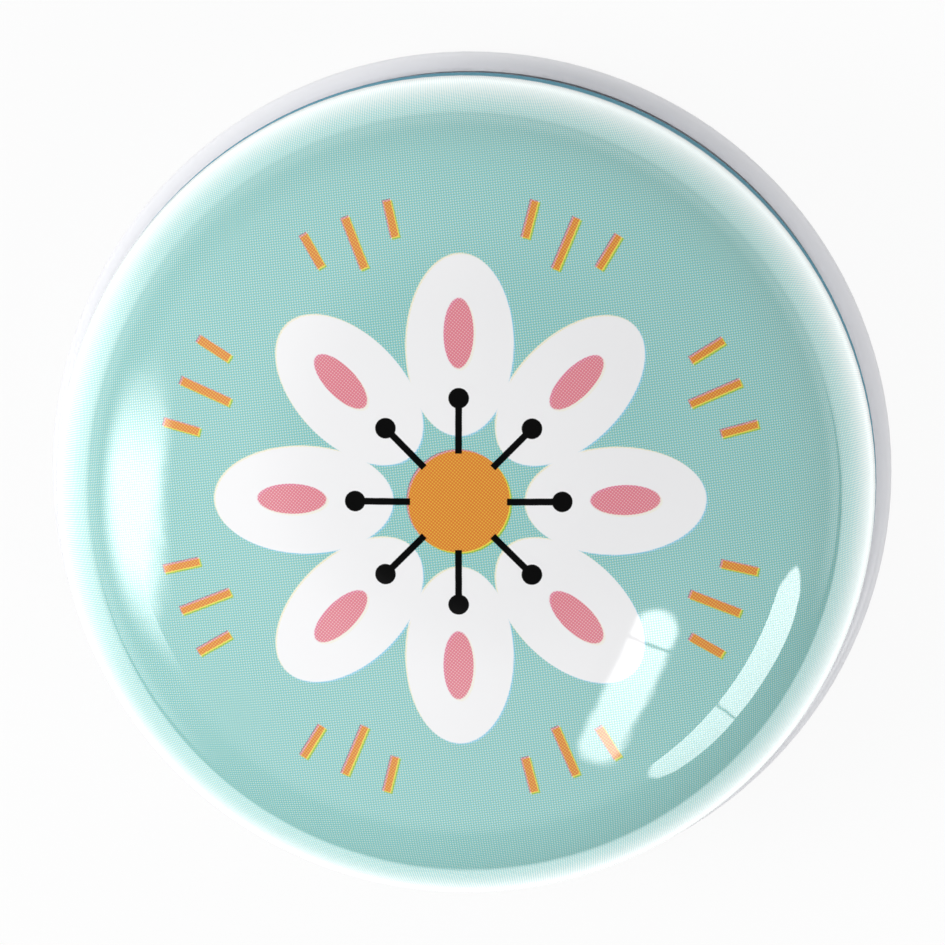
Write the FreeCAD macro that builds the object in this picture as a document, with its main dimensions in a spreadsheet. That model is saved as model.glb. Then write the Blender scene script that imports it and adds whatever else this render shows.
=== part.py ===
import FreeCAD, Part
import math
import os

import Sketcher
from FreeCAD import Vector

# Round slip-lid box of tinplate, about 50 mm across: a domed lid, a necked body and a seamed bottom.
# Millimetres, +Z up. The origin is on the axis, at the height of the surface that the box stands on.

# Driving sizes, in millimetres and degrees
SIZES = {
    "sheet": 0.25,               # thickness of the tinplate
    "lid_radius": 23.9,          # outside of the lid's skirt
    "lid_edge": 5.9,             # height of the lid's lower edge
    "skirt_height": 2.9,         # straight part of the lid's skirt
    "shoulder_radius": 7.1,      # rounding between the skirt and the dome
    "dome_radius": 58.0,         # crown of the lid
    "lid_curl_radius": 0.45,     # outside of the lid's rolled edge
    "neck_curl_radius": 0.45,    # outside of the body's rolled mouth
    "curl_turn": 240.0,          # how far the two edges are rolled round
    "lid_clearance": 0.15,       # room between the lid's rolled edge and the body
    "neck_clearance": 0.3,       # room between the body's mouth and the lid's shoulder
    "wall_step": 0.55,           # how far the wall stands out below the neck
    "step_bend": 0.7,            # outer bend of that step
    "flange_bend": 0.45,         # outer bend between the wall and its flange
    "flange_flat": 0.15,         # flat between that bend and the rolled seam
    "bead_radius": 0.7,          # outside of the rolled seam round the foot
    "bead_turn": 215.0,          # how far the bottom plate's rim is rolled over
    "hook_turn": 150.0,          # how far the flange is rolled up inside it
    "seam_clearance": 0.04,      # room between the two rolled rims
    "plug_clearance": 0.1,       # room between the bottom's recess wall and the body
    "recess_wall": 0.5,          # straight part of the recess wall
    "panel_bend": 0.65,          # upper bend between the recess wall and the panel
    "panel_step": 0.35,          # rise of the middle of the panel
    "panel_step_radius": 16.5,   # where the middle of the panel ends
    "panel_step_bend": 0.6,      # upper bends of that rise
}

# Sizes that follow from the driving ones, so that the pieces fit
FITS = {
    "shoulder_centre": "lid_radius - shoulder_radius",
    "shoulder_height": "lid_edge + lid_curl_radius + skirt_height",
    "curl_centre": "lid_radius - lid_curl_radius",
    "curl_height": "lid_edge + lid_curl_radius",
    "seat_radius": "lid_curl_radius + lid_clearance",
    "neck_radius": "curl_centre - seat_radius",
    "mouth_centre": "neck_radius - neck_curl_radius",
    "mouth_reach": "shoulder_radius - sheet - neck_curl_radius - neck_clearance",
    "mouth_height": "shoulder_height + sqrt(mouth_reach ^ 2 - (mouth_centre - shoulder_centre) ^ 2)",
    "wall_radius": "neck_radius + wall_step",
    "corner_centre": "wall_radius + flange_bend",
    "bead_centre": "corner_centre + flange_flat",
    "hook_radius": "bead_radius - 2 * sheet - seam_clearance",
    "flange_height": "bead_radius - hook_radius",
    "corner_height": "flange_height + flange_bend",
    "plug_radius": "wall_radius - sheet - plug_clearance",
    "plug_bend": "flange_bend + sheet + plug_clearance / 2",
    "plug_bend_height": "sheet + plug_bend",
    "panel_bend_height": "plug_bend_height + recess_wall",
    "panel_height": "panel_bend_height + panel_bend",
}

# How a sketch counts its origin and its upright axis, and the start, end and centre of an edge
ORIGIN, Y_AXIS = range(-1, -3, -1)
START, END, CENTRE = range(1, 4)

QUARTER_TURN = math.degrees(math.pi / 2)

doc = FreeCAD.newDocument("tooth_box")


# The table of sizes

def make_table():
    table = doc.addObject("Spreadsheet::Sheet", "sizes")
    row = 0
    for name, value in SIZES.items():
        row += 1
        table.set(f"A{row}", name)
        table.set(f"B{row}", str(value))
        table.setAlias(f"B{row}", name)
    for name, formula in FITS.items():
        row += 1
        table.set(f"A{row}", name)
        table.set(f"B{row}", "=" + formula)
        table.setAlias(f"B{row}", name)
    doc.recompute()
    return table


table = make_table()


def size(name):
    return float(table.get(name))


# A section through bent sheet: one face is drawn leg by leg, the other lies one thickness to its right

class SheetSection:
    def __init__(self, sketch, x, y):
        self.sketch = sketch
        self.point = Vector(x, y, 0)
        self.legs = []

    def add_leg(self, face, back, start, end, is_arc):
        face_id = self.sketch.addGeometry(face, False)
        back_id = self.sketch.addGeometry(back, False)
        leg = {"face": face_id, "back": back_id, "start": start, "end": end}
        if is_arc:
            self.constrain("Coincident", back_id, CENTRE, face_id, CENTRE)
        else:
            self.constrain("Parallel", back_id, face_id)
        if self.legs:
            last = self.legs[-1]
            self.constrain("Tangent", last["face"], last["end"], face_id, start)
            self.constrain("Tangent", last["back"], last["end"], back_id, start)
        self.legs.append(leg)
        return leg

    def line_to(self, x, y):
        here = self.point
        there = Vector(x, y, 0)
        along = (there - here).normalize()
        offset = Vector(along.y, -along.x, 0) * size("sheet")
        self.point = there
        face = Part.LineSegment(here, there)
        back = Part.LineSegment(here + offset, there + offset)
        return self.add_leg(face, back, START, END, False)

    def arc_about(self, x, y, turn):
        centre = Vector(x, y, 0)
        spoke = self.point - centre
        radius = spoke.Length
        first = math.atan2(spoke.y, spoke.x)
        last = first + math.radians(turn)
        self.point = centre + Vector(math.cos(last), math.sin(last), 0) * radius
        face_circle = Part.Circle(centre, Vector(0, 0, 1), radius)
        back_radius = radius + math.copysign(size("sheet"), turn)
        back_circle = Part.Circle(centre, Vector(0, 0, 1), back_radius)
        if turn > 0:
            face = Part.ArcOfCircle(face_circle, first, last)
            back = Part.ArcOfCircle(back_circle, first, last)
            return self.add_leg(face, back, START, END, True)
        face = Part.ArcOfCircle(face_circle, last, first)
        back = Part.ArcOfCircle(back_circle, last, first)
        return self.add_leg(face, back, END, START, True)

    def constrain(self, kind, *where):
        return self.sketch.addConstraint(Sketcher.Constraint(kind, *where))

    def cap(self, leg, where):
        face_point = self.sketch.getPoint(leg["face"], where)
        back_point = self.sketch.getPoint(leg["back"], where)
        edge = self.sketch.addGeometry(Part.LineSegment(face_point, back_point), False)
        self.constrain("Coincident", edge, START, leg["face"], where)
        self.constrain("Coincident", edge, END, leg["back"], where)
        return edge

    def square_cap(self, leg, where):
        edge = self.cap(leg, where)
        self.constrain("PointOnObject", leg["face"], CENTRE, edge)
        return edge

    def axis_cap(self, leg, where):
        edge = self.cap(leg, where)
        self.constrain("PointOnObject", leg["face"], where, Y_AXIS)
        self.constrain("PointOnObject", leg["back"], where, Y_AXIS)
        return edge

    def bind(self, name, formula, kind, *where):
        index = self.constrain(kind, *where)
        self.sketch.renameConstraint(index, name)
        self.sketch.setExpression("Constraints." + name, formula)

    def bind_radius(self, name, leg, cell):
        self.bind(name, "sizes." + cell, "Radius", leg["face"], size(cell))

    def bind_length(self, name, edge, cell):
        self.bind(name, "sizes." + cell, "Distance", edge, size(cell))

    def bind_x(self, name, edge, where, cell):
        self.bind(name, "sizes." + cell, "DistanceX", ORIGIN, START, edge, where, size(cell))

    def bind_y(self, name, edge, where, cell):
        self.bind(name, "sizes." + cell, "DistanceY", ORIGIN, START, edge, where, size(cell))

    def bind_turn(self, name, leg, cell):
        turn = math.radians(size(cell))
        self.bind(name, "sizes." + cell + " * 1 deg", "Angle", leg["face"], turn)


# Bodies, sketches and turned features

def new_body(name):
    body = doc.addObject("PartDesign::Body", name)
    body.Label = name
    return body


def origin_plane(body, role):
    for feature in body.Origin.OriginFeatures:
        if feature.Role == role:
            return feature
    raise ValueError("no origin plane " + role)


def new_sketch(body, name):
    sketch = body.newObject("Sketcher::SketchObject", name)
    sketch.AttachmentSupport = [(origin_plane(body, "XZ_Plane"), "")]
    sketch.MapMode = "FlatFace"
    return sketch


def turn_round(body, sketch, name):
    turned = body.newObject("PartDesign::Revolution", name)
    turned.Profile = sketch
    turned.ReferenceAxis = (sketch, ["V_Axis"])
    turned.Angle = 360.0
    sketch.Visibility = False
    doc.recompute()


# Domed lid: crown, shoulder, skirt and an edge rolled inward

def make_lid():
    body = new_body("domed_lid")
    sketch = new_sketch(body, "lid_section")
    shoulder_x = size("shoulder_centre")
    shoulder_y = size("shoulder_height")
    curl_y = size("curl_height")
    between_centres = size("dome_radius") - size("shoulder_radius")
    dome_drop = math.sqrt(between_centres ** 2 - shoulder_x ** 2)
    dome_y = shoulder_y - dome_drop
    dome_turn = math.degrees(math.atan2(shoulder_x, dome_drop))

    section = SheetSection(sketch, 0, dome_y + size("dome_radius"))
    dome = section.arc_about(0, dome_y, -dome_turn)
    shoulder = section.arc_about(shoulder_x, shoulder_y, dome_turn - QUARTER_TURN)
    skirt = section.line_to(size("lid_radius"), curl_y)
    curl = section.arc_about(size("curl_centre"), curl_y, -size("curl_turn"))
    crown_cap = section.axis_cap(dome, dome["start"])
    section.square_cap(curl, curl["end"])

    section.constrain("PointOnObject", dome["face"], CENTRE, Y_AXIS)
    section.constrain("Vertical", skirt["face"])
    section.bind_length("thickness", crown_cap, "sheet")
    section.bind_radius("dome_radius", dome, "dome_radius")
    section.bind_radius("shoulder_radius", shoulder, "shoulder_radius")
    section.bind_radius("curl_radius", curl, "lid_curl_radius")
    section.bind_turn("curl_turn", curl, "curl_turn")
    section.bind_x("lid_radius", skirt["face"], START, "lid_radius")
    section.bind_length("skirt_height", skirt["face"], "skirt_height")
    section.bind_y("curl_height", curl["face"], CENTRE, "curl_height")
    turn_round(body, sketch, "lid_pressing")
    return body


# Body of the tin: rolled mouth, neck, step that stops the lid, wall, and a flange that hooks into the seam

def make_tin_body():
    body = new_body("tin_body")
    sketch = new_sketch(body, "body_section")
    mouth_x = size("mouth_centre")
    mouth_y = size("mouth_height")
    curl_turn = size("curl_turn")
    seat = size("seat_radius")
    step_bend = size("step_bend")
    wall = size("wall_radius")
    corner_y = size("corner_height")
    step_cosine = 1 - size("wall_step") / (seat + step_bend)
    step_turn = math.degrees(math.acos(step_cosine))
    step_drop = (seat + step_bend) * math.sin(math.radians(step_turn))
    tail = math.radians(curl_turn)
    tail_x = mouth_x + size("neck_curl_radius") * math.cos(tail)
    tail_y = mouth_y + size("neck_curl_radius") * math.sin(tail)

    section = SheetSection(sketch, tail_x, tail_y)
    mouth = section.arc_about(mouth_x, mouth_y, -curl_turn)
    neck = section.line_to(size("neck_radius"), size("curl_height"))
    hollow = section.arc_about(size("curl_centre"), size("curl_height"), step_turn)
    step = section.arc_about(wall - step_bend, size("curl_height") - step_drop, -step_turn)
    side = section.line_to(wall, corner_y)
    corner = section.arc_about(size("corner_centre"), corner_y, QUARTER_TURN)
    flange = section.line_to(size("bead_centre"), size("flange_height"))
    hook = section.arc_about(size("bead_centre"), size("bead_radius"), size("hook_turn"))
    mouth_cap = section.square_cap(mouth, mouth["start"])
    section.square_cap(hook, hook["end"])

    section.constrain("Vertical", neck["face"])
    section.constrain("Vertical", side["face"])
    section.constrain("Horizontal", flange["face"])
    section.bind_length("thickness", mouth_cap, "sheet")
    section.bind_radius("mouth_radius", mouth, "neck_curl_radius")
    section.bind_turn("mouth_turn", mouth, "curl_turn")
    section.bind_y("mouth_height", mouth["face"], CENTRE, "mouth_height")
    section.bind_x("neck_radius", neck["face"], START, "neck_radius")
    section.bind_radius("seat_radius", hollow, "seat_radius")
    section.bind_y("seat_height", hollow["face"], CENTRE, "curl_height")
    section.bind_radius("step_bend", step, "step_bend")
    section.bind_x("wall_radius", side["face"], START, "wall_radius")
    section.bind_radius("flange_bend", corner, "flange_bend")
    section.bind_radius("hook_radius", hook, "hook_radius")
    section.bind_turn("hook_turn", hook, "hook_turn")
    section.bind_x("hook_centre", hook["face"], CENTRE, "bead_centre")
    section.bind_y("hook_height", hook["face"], CENTRE, "bead_radius")
    turn_round(body, sketch, "body_band")
    return body


# Bottom plate: stepped panel, recess wall that plugs the body, and a rim rolled over the body's flange

def make_bottom():
    body = new_body("bottom_plate")
    sketch = new_sketch(body, "bottom_section")
    panel_y = size("panel_height")
    rise = size("panel_step")
    rise_bend = size("panel_step_bend")
    rise_start = size("panel_step_radius")
    rise_turn = math.degrees(math.acos(1 - rise / (2 * rise_bend)))
    rise_run = 2 * rise_bend * math.sin(math.radians(rise_turn))
    plug = size("plug_radius")
    plug_bend = size("plug_bend")
    panel_bend = size("panel_bend")
    bead_x = size("bead_centre")

    section = SheetSection(sketch, 0, panel_y + rise)
    middle = section.line_to(rise_start, panel_y + rise)
    brow = section.arc_about(rise_start, panel_y + rise - rise_bend, -rise_turn)
    dip = section.arc_about(rise_start + rise_run, panel_y + rise_bend, rise_turn)
    ring = section.line_to(plug - panel_bend, panel_y)
    panel_edge = section.arc_about(plug - panel_bend, panel_y - panel_bend, -QUARTER_TURN)
    recess = section.line_to(plug, size("plug_bend_height"))
    heel = section.arc_about(plug + plug_bend, size("plug_bend_height"), QUARTER_TURN)
    foot = section.line_to(bead_x, size("sheet"))
    bead = section.arc_about(bead_x, size("bead_radius"), size("bead_turn"))
    middle_cap = section.axis_cap(middle, START)
    section.square_cap(bead, bead["end"])

    section.constrain("Horizontal", middle["face"])
    section.constrain("Horizontal", ring["face"])
    section.constrain("Vertical", recess["face"])
    section.constrain("Horizontal", foot["face"])
    section.constrain("Equal", brow["face"], dip["face"])
    section.bind_length("thickness", middle_cap, "sheet")
    section.bind_length("middle_radius", middle["face"], "panel_step_radius")
    section.bind_radius("rise_bend", brow, "panel_step_bend")
    section.bind("rise", "sizes.panel_step", "DistanceY", ring["face"], START, middle["face"], END, rise)
    section.bind_radius("panel_bend", panel_edge, "panel_bend")
    section.bind_x("plug_radius", recess["face"], START, "plug_radius")
    section.bind_length("recess_wall", recess["face"], "recess_wall")
    section.bind_radius("heel_bend", heel, "plug_bend")
    section.bind_x("bead_centre", foot["face"], END, "bead_centre")
    section.bind_y("foot_height", foot["face"], END, "sheet")
    section.bind("bead_radius", "sizes.bead_radius", "Radius", bead["back"], size("bead_radius"))
    section.bind_turn("bead_turn", bead, "bead_turn")
    turn_round(body, sketch, "bottom_pressing")
    return body


# Every object is tested before a file is written

def check(pieces):
    doc.recompute()
    for item in doc.Objects:
        if "Invalid" in item.State or "Error" in item.State:
            raise RuntimeError("failed: " + item.Label)
        if item.isDerivedFrom("Sketcher::SketchObject") and not item.FullyConstrained:
            raise RuntimeError("not fully constrained: " + item.Label)
    for piece in pieces:
        if piece.Shape.isNull() or not piece.Shape.isValid() or len(piece.Shape.Solids) != 1:
            raise RuntimeError("bad shape: " + piece.Label)


pieces = [make_lid(), make_tin_body(), make_bottom()]
check(pieces)
os.makedirs("parts", exist_ok=True)
for piece in pieces:
    piece.Shape.exportStep("parts/" + piece.Label + ".step")
    reach = piece.Shape.optimalBoundingBox()
    print(f"{piece.Label}: {piece.Shape.Volume:.1f} mm3, z {reach.ZMin:.3f} to {reach.ZMax:.3f},",
          f"across {reach.XLength:.3f}")
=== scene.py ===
import math

import bpy
from mathutils import Matrix, Vector


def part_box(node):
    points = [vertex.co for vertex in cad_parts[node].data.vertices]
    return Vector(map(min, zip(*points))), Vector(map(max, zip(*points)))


# Looks of a round slip-lid box of tinplate: printed lid, white lacquered base, light, floor and camera.
# Objects are in metres. Sizes in the materials are in millimetres, and are turned into metres where needed.

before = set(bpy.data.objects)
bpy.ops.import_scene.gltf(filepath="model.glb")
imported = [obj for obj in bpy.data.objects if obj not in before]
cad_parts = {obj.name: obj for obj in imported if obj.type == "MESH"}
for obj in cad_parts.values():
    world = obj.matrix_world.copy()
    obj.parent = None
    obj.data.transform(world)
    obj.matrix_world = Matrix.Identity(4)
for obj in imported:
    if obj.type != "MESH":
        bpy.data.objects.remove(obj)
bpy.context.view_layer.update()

MM = 0.001

# Sizes of the pieces, read from the frame or, where it has only their boxes, as the pieces are made
lid_low, lid_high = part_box("domed_lid")
LID_RADIUS = lid_high.x / MM
LID_EDGE = lid_low.z / MM
LID_TOP = lid_high.z / MM
DOME_RADIUS = 58.0
SHOULDER_RADIUS = 7.1
LID_CURL = 0.45
SKIRT_HEIGHT = 2.9
CURL_CENTRE = LID_RADIUS - LID_CURL
CURL_HEIGHT = LID_EDGE + LID_CURL
SHOULDER_CENTRE = LID_RADIUS - SHOULDER_RADIUS
SHOULDER_HEIGHT = CURL_HEIGHT + SKIRT_HEIGHT
DOME_HEIGHT = LID_TOP - DOME_RADIUS
DOME_ANGLE = math.asin(SHOULDER_CENTRE / (DOME_RADIUS - SHOULDER_RADIUS))

MOUTH_CENTRE = 22.4
MOUTH_HEIGHT = 11.67
MOUTH_CURL = 0.45
BEAD_INNER_RADIUS = 22.9


# Shader nodes

# The least distance from the axis that anything is divided by
NEAR_AXIS = 0.001

# How softly a face that looks one way gives way to a face that looks the other way
FACE_SOFTNESS = 0.05


class Nodes:
    """Adds nodes to one tree. A value fed to a socket is a number, a colour or another node's output."""

    def __init__(self, tree):
        self.tree = tree

    def add(self, kind, **settings):
        node = self.tree.nodes.new(kind)
        for name, value in settings.items():
            setattr(node, name, value)
        return node

    def feed(self, socket, value):
        if isinstance(value, bpy.types.NodeSocket):
            self.tree.links.new(value, socket)
        else:
            socket.default_value = value

    def feed_all(self, sockets, values):
        for socket, value in zip(sockets, values):
            self.feed(socket, value)

    def math(self, operation, *values):
        node = self.add("ShaderNodeMath", operation=operation)
        self.feed_all(node.inputs, values)
        return node.outputs[0]

    def plus(self, first, *others):
        for other in others:
            first = self.math("ADD", first, other)
        return first

    def less(self, first, second):
        return self.math("SUBTRACT", first, second)

    def times(self, first, *others):
        for other in others:
            first = self.math("MULTIPLY", first, other)
        return first

    def over(self, first, second):
        return self.math("DIVIDE", first, second)

    def least(self, first, *others):
        for other in others:
            first = self.math("MINIMUM", first, other)
        return first

    def most(self, first, *others):
        for other in others:
            first = self.math("MAXIMUM", first, other)
        return first

    def absolute(self, value):
        return self.math("ABSOLUTE", value)

    def length(self, first, second):
        squares = self.plus(self.times(first, first), self.times(second, second))
        return self.math("SQRT", squares)

    def remap(self, value, low, high, to_low=0.0, to_high=1.0, smooth=True):
        kind = "SMOOTHSTEP" if smooth else "LINEAR"
        node = self.add("ShaderNodeMapRange", interpolation_type=kind)
        self.feed_all(node.inputs, (value, low, high, to_low, to_high))
        return node.outputs[0]

    def inside(self, distance, softness):
        """1 where a distance is under zero and 0 where it is over, with an edge that soft."""
        return self.remap(distance, -softness, softness, 1.0, 0.0)

    def looking(self, amount):
        """1 where an amount of facing is over zero and 0 where it is under, with a soft edge."""
        return self.remap(amount, -FACE_SOFTNESS, FACE_SOFTNESS)

    def mix(self, share, first, second, blend="MIX"):
        node = self.add("ShaderNodeMix", data_type="RGBA", blend_type=blend)
        self.feed(node.inputs[0], share)
        self.feed(node.inputs[6], first)
        self.feed(node.inputs[7], second)
        return node.outputs[2]

    def noise(self, vector, scale, detail, roughness=0.5):
        node = self.add("ShaderNodeTexNoise")
        self.feed(node.inputs["Vector"], vector)
        self.feed(node.inputs["Scale"], scale)
        self.feed(node.inputs["Detail"], detail)
        self.feed(node.inputs["Roughness"], roughness)
        return node.outputs["Fac"]

    def vector(self, x, y, z):
        node = self.add("ShaderNodeCombineXYZ")
        self.feed_all(node.inputs, (x, y, z))
        return node.outputs[0]

    def split(self, vector):
        """The x, y and z of a vector."""
        node = self.add("ShaderNodeSeparateXYZ")
        self.feed(node.inputs[0], vector)
        return node.outputs

    def place(self):
        """The point in the piece's own frame, in millimetres.

        It is given as a vector, as x, y and z, and as the distance from the axis.
        """
        point = self.add("ShaderNodeVectorMath", operation="SCALE")
        self.feed(point.inputs[0], self.add("ShaderNodeTexCoord").outputs["Object"])
        self.feed(point.inputs["Scale"], 1.0 / MM)
        x, y, z = self.split(point.outputs[0])
        return point.outputs[0], x, y, z, self.length(x, y)

    def facing(self, x, y, radius):
        """How far the surface faces away from the axis, and how far it faces up."""
        normal_x, normal_y, upward = self.split(self.add("ShaderNodeTexCoord").outputs["Normal"])
        across = self.plus(self.times(normal_x, x), self.times(normal_y, y))
        return self.over(across, self.most(radius, NEAR_AXIS)), upward

    def bump(self, height, depth):
        """A normal for a height that is fed as a share of depth, in millimetres."""
        node = self.add("ShaderNodeBump")
        self.feed(node.inputs["Strength"], 1.0)
        self.feed(node.inputs["Distance"], depth * MM)
        self.feed(node.inputs["Height"], height)
        return node.outputs[0]


class Group(Nodes):
    """A node group whose inputs and outputs are numbers."""

    def __init__(self, name, inputs, outputs):
        super().__init__(bpy.data.node_groups.new(name, "ShaderNodeTree"))
        for label in inputs:
            self.tree.interface.new_socket(label, in_out="INPUT", socket_type="NodeSocketFloat")
        for label in outputs:
            self.tree.interface.new_socket(label, in_out="OUTPUT", socket_type="NodeSocketFloat")
        entry = self.add("NodeGroupInput")
        self.outputs = self.add("NodeGroupOutput").inputs
        self.inputs = list(entry.outputs)[:len(inputs)]

    def used_in(self, nodes, *values):
        node = nodes.add("ShaderNodeGroup", node_tree=self.tree)
        nodes.feed_all(node.inputs, values)
        return node.outputs


def new_material(name):
    material = bpy.data.materials.new(name)
    material.use_nodes = True
    nodes = Nodes(material.node_tree)
    return material, nodes, material.node_tree.nodes["Principled BSDF"]


# The print: a rosette of petals on a plain ground, in four inks, each a screen of dots

PETALS = 8
PETAL = {"at": 9.1, "long": 5.3, "wide": 3.15}
OVAL = {"at": 9.7, "long": 2.05, "wide": 0.88}
HEART_RADIUS = 3.0
STALK = {"at": 4.3, "long": 1.5, "wide": 0.2}
SEED = {"at": 6.0, "radius": 0.6}
LONG_DASH = {"at": 16.2, "long": 1.65, "wide": 0.26}
SHORT_DASH = {"at": 16.9, "long": 1.15, "wide": 0.26, "turn": math.radians(8.5)}
PRINT_SOFTNESS = 0.03
DOT_PITCH = 0.147
DOT_SOFTNESS = 0.3
DOT_CONTRAST = 0.42

# Each ink: what it lets through, the angle of its screen and how far its plate is off register
INKS = {
    "cyan": {"tint": (0.0, 0.55, 0.8, 1), "angle": 6.5, "shift": (0.0, 0.0)},
    "magenta": {"tint": (0.8, 0.06, 0.2, 1), "angle": 51.5, "shift": (0.05, -0.04)},
    "yellow": {"tint": (1.0, 0.84, 0.08, 1), "angle": 36.5, "shift": (-0.08, 0.07)},
    "black": {"tint": (0.002, 0.002, 0.002, 1), "angle": 81.5, "shift": (0.02, 0.03)},
}
NO_INK = (1, 1, 1, 1)

# How much of the sheet each ink covers, by the colour that is printed
GROUND = {"cyan": 0.6, "yellow": 0.35}
ORANGE = {"cyan": 0.1, "magenta": 0.6, "yellow": 0.95}
PINK = {"magenta": 0.66, "yellow": 0.2}

# The coat under the inks, and the skirt's darker blue, which fades out over this height at the top
BASE_COAT = (0.865, 0.865, 0.875, 1)
SKIRT_DARK_BLUE = (0.05, 0.27, 0.37, 1)
SKIRT_FADE = 0.7

# Painted highlight: the ink is made thinner, so paler, over the shoulder, standing in for the bright
# surroundings mirrored at the rim; it thins from this share of the way to the lid's edge
PAINTED_HIGHLIGHT_FROM = 0.78
PAINTED_HIGHLIGHT_INK = 0.6


def rosette_group():
    """The shapes of the print at a point of the flat sheet, in millimetres."""
    group = Group("rosette", ("across", "up"), ("petals", "ovals", "orange", "black"))
    across, up = group.inputs
    radius = group.length(across, up)
    half_sector = math.pi / PETALS
    from_petal = group.math("PINGPONG", group.math("ARCTAN2", up, across), half_sector)
    from_gap = group.less(half_sector, from_petal)
    from_short = group.absolute(group.less(from_gap, SHORT_DASH["turn"]))

    def spoke(angle):
        along = group.times(radius, group.math("COSINE", angle))
        side = group.times(radius, group.math("SINE", angle))
        return along, side

    def ellipse(along, side, shape):
        first = group.over(group.less(along, shape["at"]), shape["long"])
        second = group.over(side, shape["wide"])
        return group.times(group.less(group.length(first, second), 1.0), shape["wide"])

    def bar(along, side, shape):
        ends = group.less(group.absolute(group.less(along, shape["at"])), shape["long"])
        return group.most(ends, group.less(side, shape["wide"]))

    along, side = spoke(from_petal)
    petals = ellipse(along, side, PETAL)
    ovals = ellipse(along, side, OVAL)
    seeds = group.less(group.length(group.less(along, SEED["at"]), side), SEED["radius"])
    black = group.least(seeds, bar(along, side, STALK))
    heart = group.less(radius, HEART_RADIUS)
    orange = group.least(heart, bar(*spoke(from_gap), LONG_DASH), bar(*spoke(from_short), SHORT_DASH))
    for socket, distance in zip(group.outputs, (petals, ovals, orange, black)):
        group.feed(socket, group.inside(distance, PRINT_SOFTNESS))
    return group


def screen_group():
    """The ink that a screen of dots lays down at a point, for a given share of cover."""
    group = Group("screen", ("across", "up", "cover", "cosine", "sine"), ("ink",))
    across, up, cover, cosine, sine = group.inputs
    turns = 2 * math.pi / DOT_PITCH
    along = group.times(group.plus(group.times(across, cosine), group.times(up, sine)), turns)
    side = group.times(group.less(group.times(up, cosine), group.times(across, sine)), turns)
    hills = group.plus(group.math("COSINE", along), group.math("COSINE", side))
    valley = group.remap(hills, -2.0, 2.0, 1.0, 0.0, smooth=False)
    reach = group.remap(cover, 0.0, 1.0, -DOT_SOFTNESS, 1.0 + DOT_SOFTNESS, smooth=False)
    dot = group.inside(group.less(valley, reach), DOT_SOFTNESS)
    group.feed(group.outputs[0], group.plus(cover, group.times(group.less(dot, cover), DOT_CONTRAST)))
    return group


def meridian(nodes, z, radius):
    """How far a point of the lid's outside is from the crown, measured along the sheet."""
    dome = nodes.math("ARCTAN2", radius, nodes.less(z, DOME_HEIGHT))
    dome = nodes.times(nodes.least(dome, DOME_ANGLE), DOME_RADIUS)
    bend = nodes.math("ARCTAN2", nodes.less(radius, SHOULDER_CENTRE), nodes.less(z, SHOULDER_HEIGHT))
    bend = nodes.most(nodes.less(nodes.least(bend, math.pi / 2), DOME_ANGLE), 0.0)
    skirt = nodes.most(nodes.less(SHOULDER_HEIGHT, z), 0.0)
    return nodes.plus(dome, nodes.times(bend, SHOULDER_RADIUS), skirt)


def printed_colour(nodes, x, y, z, radius):
    """The colour of the lid's print, paled towards the rim by a painted highlight, and the share of it that
    is the skirt's darker blue.
    """
    rosette = rosette_group()
    screen = screen_group()
    stretch = nodes.over(meridian(nodes, z, radius), nodes.most(radius, NEAR_AXIS))
    across = nodes.times(x, stretch)
    up = nodes.times(y, stretch)
    # Painted highlight: the ink's cover falls over the shoulder towards the rim, so the rim prints paler
    bend = nodes.over(nodes.less(radius, SHOULDER_CENTRE), SHOULDER_RADIUS)
    strength = nodes.remap(bend, PAINTED_HIGHLIGHT_FROM, 1.0, 1.0, PAINTED_HIGHLIGHT_INK)

    colour = BASE_COAT
    for name, ink in INKS.items():
        shift_x, shift_y = ink["shift"]
        plate_x = nodes.plus(across, shift_x)
        plate_y = nodes.plus(up, shift_y)
        petals, ovals, orange, black = rosette.used_in(nodes, plate_x, plate_y)
        if name == "black":
            cover = black
        else:
            bare = nodes.less(1.0, nodes.most(petals, orange))
            cover = nodes.times(bare, GROUND.get(name, 0.0))
            cover = nodes.plus(cover, nodes.times(orange, ORANGE.get(name, 0.0)))
            cover = nodes.plus(cover, nodes.times(ovals, PINK.get(name, 0.0)))
            cover = nodes.times(cover, strength)
        angle = math.radians(ink["angle"])
        inked = screen.used_in(nodes, plate_x, plate_y, cover, math.cos(angle), math.sin(angle))[0]
        layer = nodes.mix(inked, NO_INK, ink["tint"])
        colour = nodes.mix(1.0, colour, layer, blend="MULTIPLY")

    skirt = nodes.remap(z, SHOULDER_HEIGHT - SKIRT_FADE, SHOULDER_HEIGHT, 1.0, 0.0)
    return nodes.mix(skirt, colour, SKIRT_DARK_BLUE), skirt


# Bare tinplate, as on the inside of every piece: fine marks along the way that the sheet was rolled

TIN_COLOUR = (0.78, 0.77, 0.75, 1)
TIN_DULL = (0.68, 0.67, 0.66, 1)
TIN_METAL = 0.8
TIN_ROUGHNESS = (0.26, 0.4)
TIN_MARKS = 0.4
MARKS_ALONG, MARKS_ACROSS, MARKS_DETAIL = 0.06, 3.0, 4.0
MARKS_RANGE = (0.3, 0.7)
CLOUDS_SCALE, CLOUDS_DETAIL = 0.25, 3.0
CLOUDS_RANGE = (0.35, 0.65)


def bare_tin(nodes, along, side, up):
    """The colour, roughness and height of bare tinplate, at a point given along and across the rolling."""
    stretched = nodes.vector(nodes.times(along, MARKS_ALONG), nodes.times(side, MARKS_ACROSS),
                             nodes.times(up, MARKS_ACROSS))
    marks = nodes.noise(stretched, 1.0, MARKS_DETAIL)
    clouds = nodes.noise(nodes.vector(along, side, up), CLOUDS_SCALE, CLOUDS_DETAIL)
    colour = nodes.mix(nodes.remap(clouds, *CLOUDS_RANGE), TIN_COLOUR, TIN_DULL)
    roughness = nodes.remap(marks, *MARKS_RANGE, *TIN_ROUGHNESS)
    return colour, roughness, nodes.times(marks, TIN_MARKS)


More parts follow.
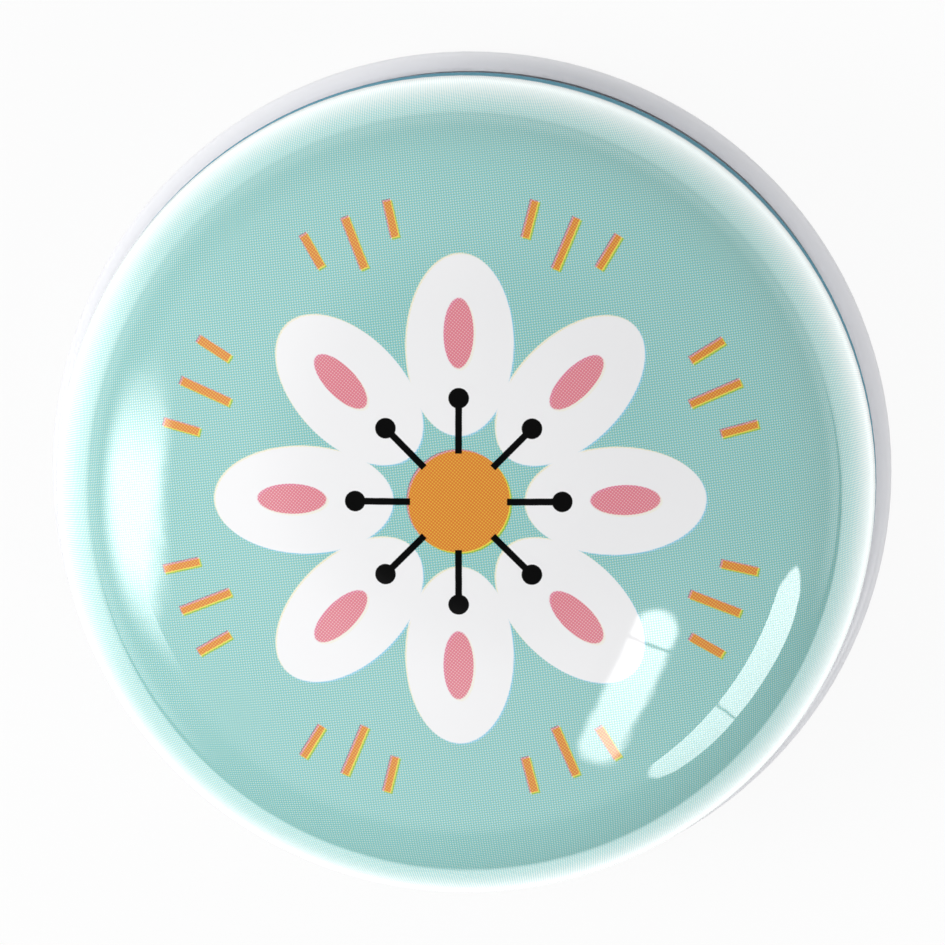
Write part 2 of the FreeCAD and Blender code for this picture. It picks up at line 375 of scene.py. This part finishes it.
def coat(nodes, shader, outside, colour, roughness, bare_colour, bare_roughness):
    """Lays a colour over bare tin, on the share of the surface that is outside."""
    bare = nodes.times(nodes.less(1.0, outside), bare_roughness)
    nodes.feed(shader.inputs["Base Color"], nodes.mix(outside, bare_colour, colour))
    nodes.feed(shader.inputs["Metallic"], nodes.remap(outside, 0.0, 1.0, TIN_METAL, 0.0))
    nodes.feed(shader.inputs["Roughness"], nodes.plus(nodes.times(outside, roughness), bare))


# Rolled edges: the outside of the sheet is told from its inside between these two depths

CURL_SHALLOW, CURL_DEEP = 0.12, 0.16


def from_curl(nodes, radius, z, centre, height):
    """How far a point is from the middle of a rolled edge."""
    return nodes.length(nodes.less(radius, centre), nodes.less(z, height))


def curl_outside(nodes, distance, curl):
    """1 on the outside of a rolled edge and 0 on its inside, at a distance from its middle."""
    return nodes.remap(distance, curl - CURL_DEEP, curl - CURL_SHALLOW)


# The lid: varnished print outside

VARNISH_IOR = 1.9
VARNISH_ROUGHNESS = 0.03
INK_SPECULAR = 0.0
INK_ROUGHNESS = (0.28, 0.36)
SKIRT_VARNISH = 0.2
SKIRT_DULLNESS = 0.3
PRINT_OUTWARD = 0.9
PRINT_CURL_SOFTNESS = 0.01
PEEL_SCALE, PEEL_DETAIL = 0.6, 1.0
PEEL_DEPTH = 0.004
GRAIN_SCALE, GRAIN_DETAIL = 6.0, 2.0
GRAIN_RANGE = (0.3, 0.7)


def lid_material():
    """Varnished print outside and bare tin inside."""
    material, nodes, shader = new_material("lid_print")
    point, x, y, z, radius = nodes.place()
    outward, upward = nodes.facing(x, y, radius)
    bare_colour, bare_roughness, marks = bare_tin(nodes, x, y, z)
    print_colour, skirt = printed_colour(nodes, x, y, z, radius)

    # The printed face: what faces up or out, and the outside of the rolled edge
    distance = from_curl(nodes, radius, z, CURL_CENTRE, CURL_HEIGHT)
    low = nodes.inside(nodes.less(z, CURL_HEIGHT), PRINT_CURL_SOFTNESS)
    on_curl = nodes.times(low, curl_outside(nodes, distance, LID_CURL))
    faces = nodes.looking(nodes.plus(upward, nodes.times(outward, PRINT_OUTWARD)))
    outside = nodes.most(on_curl, faces)

    peel = nodes.noise(point, PEEL_SCALE, PEEL_DETAIL)
    grain = nodes.noise(point, GRAIN_SCALE, GRAIN_DETAIL)
    roughness = nodes.remap(grain, *GRAIN_RANGE, *INK_ROUGHNESS)
    roughness = nodes.plus(roughness, nodes.times(skirt, SKIRT_DULLNESS))
    coat(nodes, shader, outside, print_colour, roughness, bare_colour, bare_roughness)

    varnish = nodes.times(outside, nodes.remap(skirt, 0.0, 1.0, 1.0, SKIRT_VARNISH))
    nodes.feed(shader.inputs["Coat Weight"], varnish)
    shader.inputs["Specular IOR Level"].default_value = INK_SPECULAR
    shader.inputs["Coat IOR"].default_value = VARNISH_IOR
    shader.inputs["Coat Roughness"].default_value = VARNISH_ROUGHNESS
    normal = nodes.bump(nodes.mix(outside, marks, peel), PEEL_DEPTH)
    nodes.feed(shader.inputs["Normal"], normal)
    nodes.feed(shader.inputs["Coat Normal"], normal)
    return material


# The base: white lacquer outside

WHITE = (0.86, 0.86, 0.88, 1)
# Painted shade: the lacquer goes over to this darker, bluer white towards the bottom of the base
LACQUER_PAINTED_SHADE = (0.82, 0.82, 0.85, 1)
LACQUER_ROUGHNESS = 0.3
MARKS_DEPTH = 0.005

# The ring that the box stands on is rubbed
RUB_COLOUR = (0.55, 0.55, 0.57, 1)
RUB_HEIGHT = 0.05
RUB_SHARE = 0.7
RUB_SCALE, RUB_DETAIL, RUB_ROUGHNESS = 1.5, 6.0, 0.7
RUB_RANGE = (0.5, 0.62)

# The weld down the inside of the body, on the side where y is under zero
WELD_COLOUR = (0.2, 0.19, 0.2, 1)
WELD_SHARE = 0.6
WELD_HEIGHT = 3.0
WELD_HALF_WIDTH, WELD_SOFTNESS = 0.35, 0.08
WELD_SIDE_SOFTNESS = 0.5
WELD_FOOT, WELD_FOOT_SOFTNESS = 1.5, 0.2

# Where the lacquer ends: this far beyond the mouth's curl, and at this height on faces that look up
MOUTH_REACH, MOUTH_SOFTNESS = 0.06, 0.02
FLANGE_REACH, FLANGE_SOFTNESS = 3.0, 0.1
BEAD_SOFTNESS = 0.02


def white_lacquer(name, outside_of, welded):
    """White lacquer outside and bare tin inside.

    outside_of gives the lacquered share of the surface. A welded piece shows the weld on its bare side.
    """
    material, nodes, shader = new_material(name)
    point, x, y, z, radius = nodes.place()
    outward, upward = nodes.facing(x, y, radius)
    outside = outside_of(nodes, radius, z, outward, upward)
    bare = nodes.less(1.0, outside)

    if welded:
        # The sheet was rolled into a band, so its marks run round it, from the weld to the weld
        round_band = nodes.times(nodes.math("ARCTAN2", x, y), radius)
        bare_colour, bare_roughness, marks = bare_tin(nodes, round_band, radius, z)
        weld = nodes.times(nodes.inside(nodes.less(nodes.absolute(x), WELD_HALF_WIDTH), WELD_SOFTNESS),
                           nodes.inside(y, WELD_SIDE_SOFTNESS),
                           nodes.inside(nodes.less(WELD_FOOT, z), WELD_FOOT_SOFTNESS))
        bare_colour = nodes.mix(nodes.times(weld, WELD_SHARE), bare_colour, WELD_COLOUR)
        marks = nodes.plus(marks, nodes.times(weld, WELD_HEIGHT))
    else:
        bare_colour, bare_roughness, marks = bare_tin(nodes, x, y, z)

    # Painted shade: the lacquer darkens from the height of the lid's edge down to the floor
    colour = nodes.mix(nodes.remap(z, 0.0, LID_EDGE), LACQUER_PAINTED_SHADE, WHITE)
    ring = nodes.inside(nodes.less(z, RUB_HEIGHT), RUB_HEIGHT)
    rubs = nodes.remap(nodes.noise(point, RUB_SCALE, RUB_DETAIL, RUB_ROUGHNESS), *RUB_RANGE)
    colour = nodes.mix(nodes.times(ring, rubs, RUB_SHARE), colour, RUB_COLOUR)
    coat(nodes, shader, outside, colour, LACQUER_ROUGHNESS, bare_colour, bare_roughness)
    nodes.feed(shader.inputs["Normal"], nodes.bump(nodes.times(bare, marks), MARKS_DEPTH))
    return material


def body_outside(nodes, radius, z, outward, upward):
    """The body's lacquered face: what faces away from the axis, the rolled mouth and the flange."""
    distance = from_curl(nodes, radius, z, MOUTH_CENTRE, MOUTH_HEIGHT)
    near = nodes.inside(nodes.less(distance, MOUTH_CURL + MOUTH_REACH), MOUTH_SOFTNESS)
    on_mouth = nodes.times(curl_outside(nodes, distance, MOUTH_CURL), near)
    low = nodes.inside(nodes.less(z, FLANGE_REACH), FLANGE_SOFTNESS)
    on_flange = nodes.times(nodes.looking(upward), low)
    return nodes.most(nodes.looking(outward), on_mouth, on_flange)


def bottom_outside(nodes, radius, z, outward, upward):
    """The bottom plate's lacquered face: its underside, and all of its rolled rim."""
    rim = nodes.remap(radius, BEAD_INNER_RADIUS - BEAD_SOFTNESS, BEAD_INNER_RADIUS + BEAD_SOFTNESS)
    under = nodes.looking(nodes.less(nodes.times(outward, -1.0), upward))
    return nodes.most(rim, under)


def dress(node, material):
    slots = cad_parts[node].data.materials
    slots.clear()
    slots.append(material)


dress("domed_lid", lid_material())
dress("tin_body", white_lacquer("body_lacquer", body_outside, welded=True))
dress("bottom_plate", white_lacquer("bottom_lacquer", bottom_outside, welded=False))


# Floor: white to the camera, and a lit table that ends in front of the box to what mirrors it

FLOOR_HALF = 4.0
FLOOR_COLOUR = (0.75, 0.75, 0.75, 1)
FLOOR_GLOW = 0.91
TABLE_FRONT = -84 * MM
TABLE_SLANT = 0.27
TABLE_FADE = 18 * MM


def floor_place(nodes):
    """The x and y of a point of the floor."""
    x, y, _ = nodes.split(nodes.add("ShaderNodeNewGeometry").outputs["Position"])
    return x, y


def on_table(nodes, x, y):
    """1 if a point of the floor is on the lit table, and 0 if it is in front of it."""
    behind = nodes.less(y, nodes.times(x, TABLE_SLANT))
    return nodes.remap(behind, TABLE_FRONT - TABLE_FADE, TABLE_FRONT + TABLE_FADE)


def make_floor():
    mesh = bpy.data.meshes.new("floor")
    corners = [(-FLOOR_HALF, -FLOOR_HALF, 0), (FLOOR_HALF, -FLOOR_HALF, 0),
               (FLOOR_HALF, FLOOR_HALF, 0), (-FLOOR_HALF, FLOOR_HALF, 0)]
    mesh.from_pydata(corners, [], [(0, 1, 2, 3)])
    floor = bpy.data.objects.new("floor", mesh)
    bpy.context.scene.collection.objects.link(floor)

    material = bpy.data.materials.new("floor")
    material.use_nodes = True
    material.node_tree.nodes.clear()
    nodes = Nodes(material.node_tree)
    paper = nodes.add("ShaderNodeBsdfDiffuse")
    nodes.feed(paper.inputs["Color"], FLOOR_COLOUR)
    rays = nodes.add("ShaderNodeLightPath").outputs
    seen = nodes.most(rays["Is Camera Ray"], rays["Is Glossy Ray"], rays["Is Transmission Ray"])

    # In front of the table, the floor glows only to the camera
    white = nodes.add("ShaderNodeEmission")
    table = on_table(nodes, *floor_place(nodes))
    nodes.feed(white.inputs["Strength"], nodes.most(rays["Is Camera Ray"], table))
    blend = nodes.add("ShaderNodeMixShader")
    nodes.feed_all(blend.inputs, (nodes.times(seen, FLOOR_GLOW), paper.outputs[0], white.outputs[0]))
    out = nodes.add("ShaderNodeOutputMaterial")
    nodes.feed(out.inputs["Surface"], blend.outputs[0])
    mesh.materials.append(material)


make_floor()


# Light: a white tent, which glossy surfaces mirror as a dim room instead, and lamps

# The tent is brightest at the left and has grey walls. The room has pale walls, a dim front and a dark top.
# Heights in both are the up part of a direction of length 1, from 0 at the horizon to 1 overhead.

TENT_BRIGHT = (1.25, 1.25, 1.25, 1)
TENT_DIM = (0.05, 0.05, 0.05, 1)
TENT_WALL = (0.35, 0.35, 0.35, 1)
TENT_TURN = math.radians(142)
ROOM_TOP = (0.03, 0.03, 0.03, 1)
ROOM_SIDE = (0.4, 0.4, 0.4, 1)
ROOM_WALL = (1, 1, 1, 1)
ROOM_FRONT = (0.1, 0.1, 0.1, 1)
ROOM_TURN = math.radians(102)
ROOM_FRONT_RANGE = (-0.65, -0.4)
ROOM_TOP_RANGE = (0.45, 0.9)
WALL_RANGE = (0.05, 0.28)
BACKDROP = (1, 1, 1, 1)

# A pale band of ceiling round the dark middle, which the varnish mirrors as a soft veil
VEIL = (0.6, 0.6, 0.6, 1)
VEIL_TURN = math.radians(200)
VEIL_FAR_SHARE = 0.25
VEIL_FAR_RANGE = (-0.7, 0.5)
VEIL_FOOT_RANGE = (0.5, 0.65)
VEIL_TOP_RANGE = (0.88, 0.96)


def make_room():
    world = bpy.data.worlds.new("room")
    world.use_nodes = True
    bpy.context.scene.world = world
    nodes = Nodes(world.node_tree)
    across, back, up = nodes.split(nodes.add("ShaderNodeTexCoord").outputs["Generated"])
    rays = nodes.add("ShaderNodeLightPath").outputs

    def towards(turn):
        return nodes.plus(nodes.times(across, math.cos(turn)), nodes.times(back, math.sin(turn)))

    wall = nodes.remap(up, *WALL_RANGE, 1.0, 0.0)
    tent = nodes.mix(nodes.remap(towards(TENT_TURN), -1.0, 1.0, smooth=False), TENT_DIM, TENT_BRIGHT)
    tent = nodes.mix(wall, tent, TENT_WALL)

    not_front = nodes.remap(towards(ROOM_TURN), *ROOM_FRONT_RANGE)
    side = nodes.mix(not_front, ROOM_FRONT, ROOM_SIDE)
    room = nodes.mix(nodes.remap(up, *ROOM_TOP_RANGE), side, ROOM_TOP)
    veil = nodes.times(nodes.remap(up, *VEIL_FOOT_RANGE), nodes.remap(up, *VEIL_TOP_RANGE, 1.0, 0.0),
                       nodes.remap(towards(VEIL_TURN), *VEIL_FAR_RANGE, VEIL_FAR_SHARE, 1.0))
    room = nodes.mix(veil, room, VEIL)
    room = nodes.mix(nodes.times(wall, not_front), room, ROOM_WALL)

    colour = nodes.mix(rays["Is Glossy Ray"], tent, room)
    colour = nodes.mix(rays["Is Camera Ray"], colour, BACKDROP)
    nodes.feed(world.node_tree.nodes["Background"].inputs["Color"], colour)


def area_lamp(name, wide, high, brightness):
    """A flat lamp and its holder. Its brightness is that of its face, where 1 is white."""
    lamp = bpy.data.lights.new(name, "AREA")
    lamp.shape = "RECTANGLE"
    lamp.size = wide
    lamp.size_y = high
    lamp.energy = brightness * math.pi * wide * high
    lamp.use_nodes = True
    holder = bpy.data.objects.new(name, lamp)
    bpy.context.scene.collection.objects.link(holder)
    return lamp, holder


def direction(azimuth, elevation):
    flat = math.cos(math.radians(elevation))
    return Vector((flat * math.cos(math.radians(azimuth)), flat * math.sin(math.radians(azimuth)),
                   math.sin(math.radians(elevation))))


def make_lamp(name, azimuth, elevation, distance, wide, high, brightness, roll=0.0):
    """A flat lamp that faces the lid."""
    lamp, holder = area_lamp(name, wide, high, brightness)
    away = direction(azimuth, elevation)
    right = Vector((0, 0, 1)).cross(away).normalized()
    up = away.cross(right)
    turned = Matrix((right, up, away)).transposed() @ Matrix.Rotation(math.radians(roll), 3, "Z")
    place = Vector((0, 0, LID_TOP * MM)) + away * distance
    holder.matrix_world = Matrix.Translation(place) @ turned.to_4x4()
    return lamp


def shape_face(lamp, corner, fade, stretch=1.0, bar_at=None, bar_half=0.0, far_end=1.0, foot_fade=0.0):
    """Rounds and softens a lamp's lit face, and lays a dark bar across it. All in metres.

    The sides are softened more than the top and bottom, by the stretch. far_end is the share of light
    that is left at the end where across is least, and foot_fade is how far up the foot of the face fades.
    """
    nodes = Nodes(lamp.node_tree)
    half_wide = lamp.size / 2
    half_high = lamp.size_y / 2
    share_across, share_up, _ = nodes.split(nodes.add("ShaderNodeNewGeometry").outputs["Parametric"])
    across = nodes.times(nodes.less(share_across, 0.5), lamp.size)
    up = nodes.times(nodes.less(share_up, 0.5), lamp.size_y)
    beside = nodes.most(nodes.less(nodes.absolute(across), half_wide - (fade + corner) * stretch), 0.0)
    above = nodes.most(nodes.less(nodes.absolute(up), half_high - fade - corner), 0.0)
    lit = nodes.inside(nodes.less(nodes.length(nodes.over(beside, stretch), above), corner), fade)
    if bar_at is not None:
        bar = nodes.less(nodes.absolute(nodes.less(across, bar_at)), bar_half)
        lit = nodes.times(lit, nodes.less(1.0, nodes.inside(bar, bar_half)))
    lit = nodes.times(lit, nodes.remap(across, -half_wide, half_wide, far_end, 1.0, smooth=False))
    if foot_fade:
        lit = nodes.times(lit, nodes.remap(up, -half_high, foot_fade - half_high))
    nodes.feed(lamp.node_tree.nodes["Emission"].inputs["Strength"], lit)


TABLE_WIDE = 0.8
TABLE_DEEP = 0.5
TABLE_BACK = 0.3
TABLE_LIFT = 0.3 * MM
TABLE_LIGHT = 1.2
TABLE_HOLE, TABLE_START = 25 * MM, 30 * MM
TABLE_NEAR, TABLE_FAR = 40 * MM, 260 * MM
TABLE_FAR_SHARE = 0.35
TABLE_GLARE = 1.8
TABLE_GLARE_START = 50 * MM
TABLE_GLARE_RANGE = (-0.8, -1.0)


def make_table_light():
    """The lit white table round the box, for the rim to mirror. The soft box glares on it at the left."""
    lamp, holder = area_lamp("table_light", TABLE_WIDE, TABLE_DEEP, TABLE_LIGHT)
    place = Vector((0, TABLE_BACK - TABLE_DEEP / 2, TABLE_LIFT))
    holder.matrix_world = Matrix.Translation(place) @ Matrix.Rotation(math.pi, 4, "X")
    holder.visible_camera = False
    holder.visible_diffuse = False
    nodes = Nodes(lamp.node_tree)
    x, y = floor_place(nodes)
    radius = nodes.length(x, y)
    lit = nodes.times(on_table(nodes, x, y), nodes.remap(radius, TABLE_HOLE, TABLE_START))
    lit = nodes.times(lit, nodes.remap(radius, TABLE_NEAR, TABLE_FAR, 1.0, TABLE_FAR_SHARE))
    glare = nodes.times(nodes.remap(nodes.over(x, radius), *TABLE_GLARE_RANGE),
                        nodes.remap(radius, TABLE_START, TABLE_GLARE_START), TABLE_GLARE - 1.0)
    strength = nodes.times(lit, nodes.plus(glare, 1.0))
    nodes.feed(lamp.node_tree.nodes["Emission"].inputs["Strength"], strength)


make_room()
make_table_light()
soft_box = make_lamp("soft_box", azimuth=188, elevation=30.6, distance=0.6, wide=0.5, high=0.455,
                     brightness=7.4, roll=-11)
shape_face(soft_box, corner=0.01, fade=0.022, stretch=6.0, foot_fade=0.26)
window = make_lamp("window", azimuth=-41, elevation=35, distance=0.8, wide=0.52, high=0.37,
                   brightness=5.2)
shape_face(window, corner=0.16, fade=0.008, bar_at=-0.06, bar_half=0.003, far_end=0.65)
skylight = make_lamp("skylight", azimuth=-58, elevation=55.6, distance=0.8, wide=0.3, high=0.09,
                     brightness=5.6, roll=34)
shape_face(skylight, corner=0.035, fade=0.009, bar_at=0.08, bar_half=0.003, far_end=0.7)


# Camera: from above, leaning a little towards the right and the top of the picture

LEAN_RIGHT = math.radians(2.3)
LEAN_UP = math.radians(5.65)
CAMERA_DISTANCE = 1.0
AIM = Vector((0.305, 0.485, 7.0)) * MM
SENSOR_WIDTH = 36.0
PICTURE_WIDTH = 55.25 * MM


def make_camera():
    camera = bpy.data.cameras.new("camera")
    camera.sensor_width = SENSOR_WIDTH
    camera.lens = SENSOR_WIDTH * CAMERA_DISTANCE / PICTURE_WIDTH
    holder = bpy.data.objects.new("camera", camera)
    bpy.context.scene.collection.objects.link(holder)
    centre = Vector((0, 0, AIM.z))
    lean = Vector((math.tan(LEAN_RIGHT), math.tan(LEAN_UP), 1)).normalized()
    place = centre + lean * CAMERA_DISTANCE
    back = (place - AIM).normalized()
    right = Vector((0, 1, 0)).cross(back).normalized()
    up = back.cross(right)
    holder.matrix_world = Matrix.Translation(place) @ Matrix((right, up, back)).transposed().to_4x4()
    bpy.context.scene.camera = holder


make_camera()
bpy.context.scene.view_settings.view_transform = "Standard"
